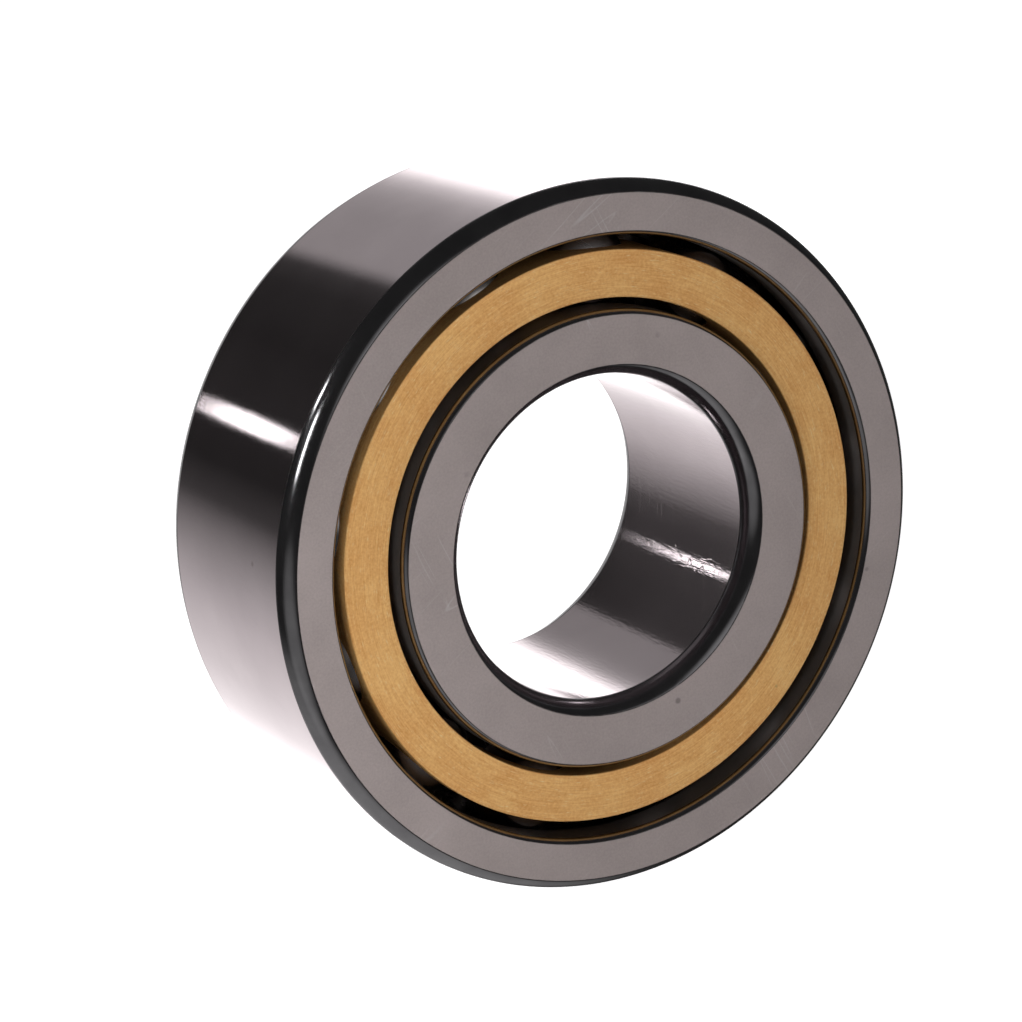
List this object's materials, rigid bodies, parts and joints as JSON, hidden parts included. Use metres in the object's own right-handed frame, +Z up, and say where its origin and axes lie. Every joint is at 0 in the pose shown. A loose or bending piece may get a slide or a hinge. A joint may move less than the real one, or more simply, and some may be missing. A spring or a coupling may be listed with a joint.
{
  "type": "angular contact ball bearing",
  "caption": "Open double-row angular contact ball bearing with one-piece steel rings, machined brass prong cages and steel balls, rows back to back.",
  "frame": {"origin": "centre of the bearing: on its axis, midway between its side faces", "axes": "+Y along the bearing's axis from the front face to the rear face, +Z up as it stands on its outside diameter, +X to the right seen from the front"},
  "size_m": [0.12, 0.043, 0.12],
  "materials": {
    "ring_steel": "ground bearing steel",
    "cage_brass": "turned brass",
    "ball_steel": "polished bearing steel"
  },
  "bodies": {
    "outer_ring": {"outer_ring": "ring_steel"},
    "inner_ring": {"inner_ring": "ring_steel"},
    "front_cage": {"front_cage": "cage_brass"},
    "rear_cage": {"rear_cage": "cage_brass"},
    "front_ball_01": {"front_ball_01": "ball_steel"},
    "front_ball_02": {"front_ball_02": "ball_steel"},
    "front_ball_03": {"front_ball_03": "ball_steel"},
    "front_ball_04": {"front_ball_04": "ball_steel"},
    "front_ball_05": {"front_ball_05": "ball_steel"},
    "front_ball_06": {"front_ball_06": "ball_steel"},
    "front_ball_07": {"front_ball_07": "ball_steel"},
    "front_ball_08": {"front_ball_08": "ball_steel"},
    "front_ball_09": {"front_ball_09": "ball_steel"},
    "front_ball_10": {"front_ball_10": "ball_steel"},
    "front_ball_11": {"front_ball_11": "ball_steel"},
    "front_ball_12": {"front_ball_12": "ball_steel"},
    "front_ball_13": {"front_ball_13": "ball_steel"},
    "rear_ball_01": {"rear_ball_01": "ball_steel"},
    "rear_ball_02": {"rear_ball_02": "ball_steel"},
    "rear_ball_03": {"rear_ball_03": "ball_steel"},
    "rear_ball_04": {"rear_ball_04": "ball_steel"},
    "rear_ball_05": {"rear_ball_05": "ball_steel"},
    "rear_ball_06": {"rear_ball_06": "ball_steel"},
    "rear_ball_07": {"rear_ball_07": "ball_steel"},
    "rear_ball_08": {"rear_ball_08": "ball_steel"},
    "rear_ball_09": {"rear_ball_09": "ball_steel"},
    "rear_ball_10": {"rear_ball_10": "ball_steel"},
    "rear_ball_11": {"rear_ball_11": "ball_steel"},
    "rear_ball_12": {"rear_ball_12": "ball_steel"},
    "rear_ball_13": {"rear_ball_13": "ball_steel"}
  },
  "joints": [
    {"name": "inner_ring_spin", "type": "hinge", "parent": "outer_ring", "child": "inner_ring", "pos_m": [0, 0, 0], "axis": [0, 1, 0], "continuous": true},
    {"name": "front_cage_spin", "type": "hinge", "parent": "outer_ring", "child": "front_cage", "pos_m": [0, 0, 0], "axis": [0, 1, 0], "continuous": true},
    {"name": "front_ball_01_spin", "type": "hinge", "parent": "front_cage", "child": "front_ball_01", "pos_m": [0, -0.0091, 0.0448], "axis": [0, 0.866, -0.5], "continuous": true},
    {"name": "front_ball_02_spin", "type": "hinge", "parent": "front_cage", "child": "front_ball_02", "pos_m": [-0.02082, -0.0091, 0.03967], "axis": [0.2324, 0.866, -0.4427], "continuous": true},
    {"name": "front_ball_03_spin", "type": "hinge", "parent": "front_cage", "child": "front_ball_03", "pos_m": [-0.03687, -0.0091, 0.02545], "axis": [0.4115, 0.866, -0.284], "continuous": true},
    {"name": "front_ball_04_spin", "type": "hinge", "parent": "front_cage", "child": "front_ball_04", "pos_m": [-0.04447, -0.0091, 0.0054], "axis": [0.4964, 0.866, -0.0603], "continuous": true},
    {"name": "front_ball_05_spin", "type": "hinge", "parent": "front_cage", "child": "front_ball_05", "pos_m": [-0.04189, -0.0091, -0.01589], "axis": [0.4675, 0.866, 0.1773], "continuous": true},
    {"name": "front_ball_06_spin", "type": "hinge", "parent": "front_cage", "child": "front_ball_06", "pos_m": [-0.02971, -0.0091, -0.03353], "axis": [0.3316, 0.866, 0.3743], "continuous": true},
    {"name": "front_ball_07_spin", "type": "hinge", "parent": "front_cage", "child": "front_ball_07", "pos_m": [-0.01072, -0.0091, -0.0435], "axis": [0.1197, 0.866, 0.4855], "continuous": true},
    {"name": "front_ball_08_spin", "type": "hinge", "parent": "front_cage", "child": "front_ball_08", "pos_m": [0.01072, -0.0091, -0.0435], "axis": [-0.1197, 0.866, 0.4855], "continuous": true},
    {"name": "front_ball_09_spin", "type": "hinge", "parent": "front_cage", "child": "front_ball_09", "pos_m": [0.02971, -0.0091, -0.03353], "axis": [-0.3316, 0.866, 0.3743], "continuous": true},
    {"name": "front_ball_10_spin", "type": "hinge", "parent": "front_cage", "child": "front_ball_10", "pos_m": [0.04189, -0.0091, -0.01589], "axis": [-0.4675, 0.866, 0.1773], "continuous": true},
    {"name": "front_ball_11_spin", "type": "hinge", "parent": "front_cage", "child": "front_ball_11", "pos_m": [0.04447, -0.0091, 0.0054], "axis": [-0.4964, 0.866, -0.0603], "continuous": true},
    {"name": "front_ball_12_spin", "type": "hinge", "parent": "front_cage", "child": "front_ball_12", "pos_m": [0.03687, -0.0091, 0.02545], "axis": [-0.4115, 0.866, -0.284], "continuous": true},
    {"name": "front_ball_13_spin", "type": "hinge", "parent": "front_cage", "child": "front_ball_13", "pos_m": [0.02082, -0.0091, 0.03967], "axis": [-0.2324, 0.866, -0.4427], "continuous": true},
    {"name": "rear_cage_spin", "type": "hinge", "parent": "outer_ring", "child": "rear_cage", "pos_m": [0, 0, 0], "axis": [0, 1, 0], "continuous": true},
    {"name": "rear_ball_01_spin", "type": "hinge", "parent": "rear_cage", "child": "rear_ball_01", "pos_m": [0, 0.0091, 0.0448], "axis": [0, 0.866, 0.5], "continuous": true},
    {"name": "rear_ball_02_spin", "type": "hinge", "parent": "rear_cage", "child": "rear_ball_02", "pos_m": [-0.02082, 0.0091, 0.03967], "axis": [-0.2324, 0.866, 0.4427], "continuous": true},
    {"name": "rear_ball_03_spin", "type": "hinge", "parent": "rear_cage", "child": "rear_ball_03", "pos_m": [-0.03687, 0.0091, 0.02545], "axis": [-0.4115, 0.866, 0.284], "continuous": true},
    {"name": "rear_ball_04_spin", "type": "hinge", "parent": "rear_cage", "child": "rear_ball_04", "pos_m": [-0.04447, 0.0091, 0.0054], "axis": [-0.4964, 0.866, 0.0603], "continuous": true},
    {"name": "rear_ball_05_spin", "type": "hinge", "parent": "rear_cage", "child": "rear_ball_05", "pos_m": [-0.04189, 0.0091, -0.01589], "axis": [-0.4675, 0.866, -0.1773], "continuous": true},
    {"name": "rear_ball_06_spin", "type": "hinge", "parent": "rear_cage", "child": "rear_ball_06", "pos_m": [-0.02971, 0.0091, -0.03353], "axis": [-0.3316, 0.866, -0.3743], "continuous": true},
    {"name": "rear_ball_07_spin", "type": "hinge", "parent": "rear_cage", "child": "rear_ball_07", "pos_m": [-0.01072, 0.0091, -0.0435], "axis": [-0.1197, 0.866, -0.4855], "continuous": true},
    {"name": "rear_ball_08_spin", "type": "hinge", "parent": "rear_cage", "child": "rear_ball_08", "pos_m": [0.01072, 0.0091, -0.0435], "axis": [0.1197, 0.866, -0.4855], "continuous": true},
    {"name": "rear_ball_09_spin", "type": "hinge", "parent": "rear_cage", "child": "rear_ball_09", "pos_m": [0.02971, 0.0091, -0.03353], "axis": [0.3316, 0.866, -0.3743], "continuous": true},
    {"name": "rear_ball_10_spin", "type": "hinge", "parent": "rear_cage", "child": "rear_ball_10", "pos_m": [0.04189, 0.0091, -0.01589], "axis": [0.4675, 0.866, -0.1773], "continuous": true},
    {"name": "rear_ball_11_spin", "type": "hinge", "parent": "rear_cage", "child": "rear_ball_11", "pos_m": [0.04447, 0.0091, 0.0054], "axis": [0.4964, 0.866, 0.0603], "continuous": true},
    {"name": "rear_ball_12_spin", "type": "hinge", "parent": "rear_cage", "child": "rear_ball_12", "pos_m": [0.03687, 0.0091, 0.02545], "axis": [0.4115, 0.866, 0.284], "continuous": true},
    {"name": "rear_ball_13_spin", "type": "hinge", "parent": "rear_cage", "child": "rear_ball_13", "pos_m": [0.02082, 0.0091, 0.03967], "axis": [0.2324, 0.866, 0.4427], "continuous": true}
  ],
  "couplings": [
    {"joint": "front_cage_spin", "follows": "inner_ring_spin", "ratio": 0.41944},
    {"joint": "front_ball_01_spin", "follows": "inner_ring_spin", "ratio": -2.6179},
    {"joint": "front_ball_02_spin", "follows": "inner_ring_spin", "ratio": -2.6179},
    {"joint": "front_ball_03_spin", "follows": "inner_ring_spin", "ratio": -2.6179},
    {"joint": "front_ball_04_spin", "follows": "inner_ring_spin", "ratio": -2.6179},
    {"joint": "front_ball_05_spin", "follows": "inner_ring_spin", "ratio": -2.6179},
    {"joint": "front_ball_06_spin", "follows": "inner_ring_spin", "ratio": -2.6179},
    {"joint": "front_ball_07_spin", "follows": "inner_ring_spin", "ratio": -2.6179},
    {"joint": "front_ball_08_spin", "follows": "inner_ring_spin", "ratio": -2.6179},
    {"joint": "front_ball_09_spin", "follows": "inner_ring_spin", "ratio": -2.6179},
    {"joint": "front_ball_10_spin", "follows": "inner_ring_spin", "ratio": -2.6179},
    {"joint": "front_ball_11_spin", "follows": "inner_ring_spin", "ratio": -2.6179},
    {"joint": "front_ball_12_spin", "follows": "inner_ring_spin", "ratio": -2.6179},
    {"joint": "front_ball_13_spin", "follows": "inner_ring_spin", "ratio": -2.6179},
    {"joint": "rear_cage_spin", "follows": "inner_ring_spin", "ratio": 0.41944},
    {"joint": "rear_ball_01_spin", "follows": "inner_ring_spin", "ratio": -2.6179},
    {"joint": "rear_ball_02_spin", "follows": "inner_ring_spin", "ratio": -2.6179},
    {"joint": "rear_ball_03_spin", "follows": "inner_ring_spin", "ratio": -2.6179},
    {"joint": "rear_ball_04_spin", "follows": "inner_ring_spin", "ratio": -2.6179},
    {"joint": "rear_ball_05_spin", "follows": "inner_ring_spin", "ratio": -2.6179},
    {"joint": "rear_ball_06_spin", "follows": "inner_ring_spin", "ratio": -2.6179},
    {"joint": "rear_ball_07_spin", "follows": "inner_ring_spin", "ratio": -2.6179},
    {"joint": "rear_ball_08_spin", "follows": "inner_ring_spin", "ratio": -2.6179},
    {"joint": "rear_ball_09_spin", "follows": "inner_ring_spin", "ratio": -2.6179},
    {"joint": "rear_ball_10_spin", "follows": "inner_ring_spin", "ratio": -2.6179},
    {"joint": "rear_ball_11_spin", "follows": "inner_ring_spin", "ratio": -2.6179},
    {"joint": "rear_ball_12_spin", "follows": "inner_ring_spin", "ratio": -2.6179},
    {"joint": "rear_ball_13_spin", "follows": "inner_ring_spin", "ratio": -2.6179}
  ]
}
